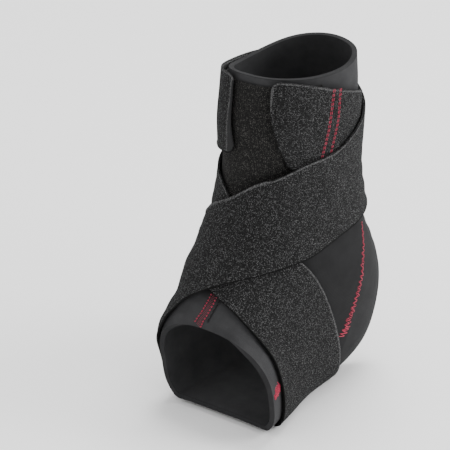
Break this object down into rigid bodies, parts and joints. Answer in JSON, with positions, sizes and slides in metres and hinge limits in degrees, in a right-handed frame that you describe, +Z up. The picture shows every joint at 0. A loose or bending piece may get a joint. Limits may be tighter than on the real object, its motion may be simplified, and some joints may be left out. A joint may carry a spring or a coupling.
{
  "type": "ankle brace",
  "caption": "Left ankle brace: stretch sleeve with open toe and heel, and two wide pile straps that cross over the instep and fasten round the collar.",
  "frame": {"origin": "on the floor under the middle of the sole, on the flat underside of the inner strap", "axes": "+X towards the toes, +Y to the outer side of the left foot, +Z up the leg"},
  "size_m": [0.134, 0.0887, 0.207],
  "materials": {
    "neoprene": "smooth stretch knit over neoprene foam, black",
    "loop_pile": "brushed loop pile on elastic webbing, charcoal speckle",
    "panel_pile": "short loop pile, black",
    "hook_tape": "hook tape, black",
    "red_thread": "polyester sewing thread, crimson",
    "black_thread": "polyester sewing thread, black"
  },
  "bodies": {
    "root": {"sleeve": "neoprene", "front_loop_panel": "panel_pile", "inner_strap": "loop_pile", "inner_strap_hook_tab": "hook_tape", "outer_strap": "loop_pile", "outer_strap_hook_tab": "hook_tape"}
  },
  "joints": []
}
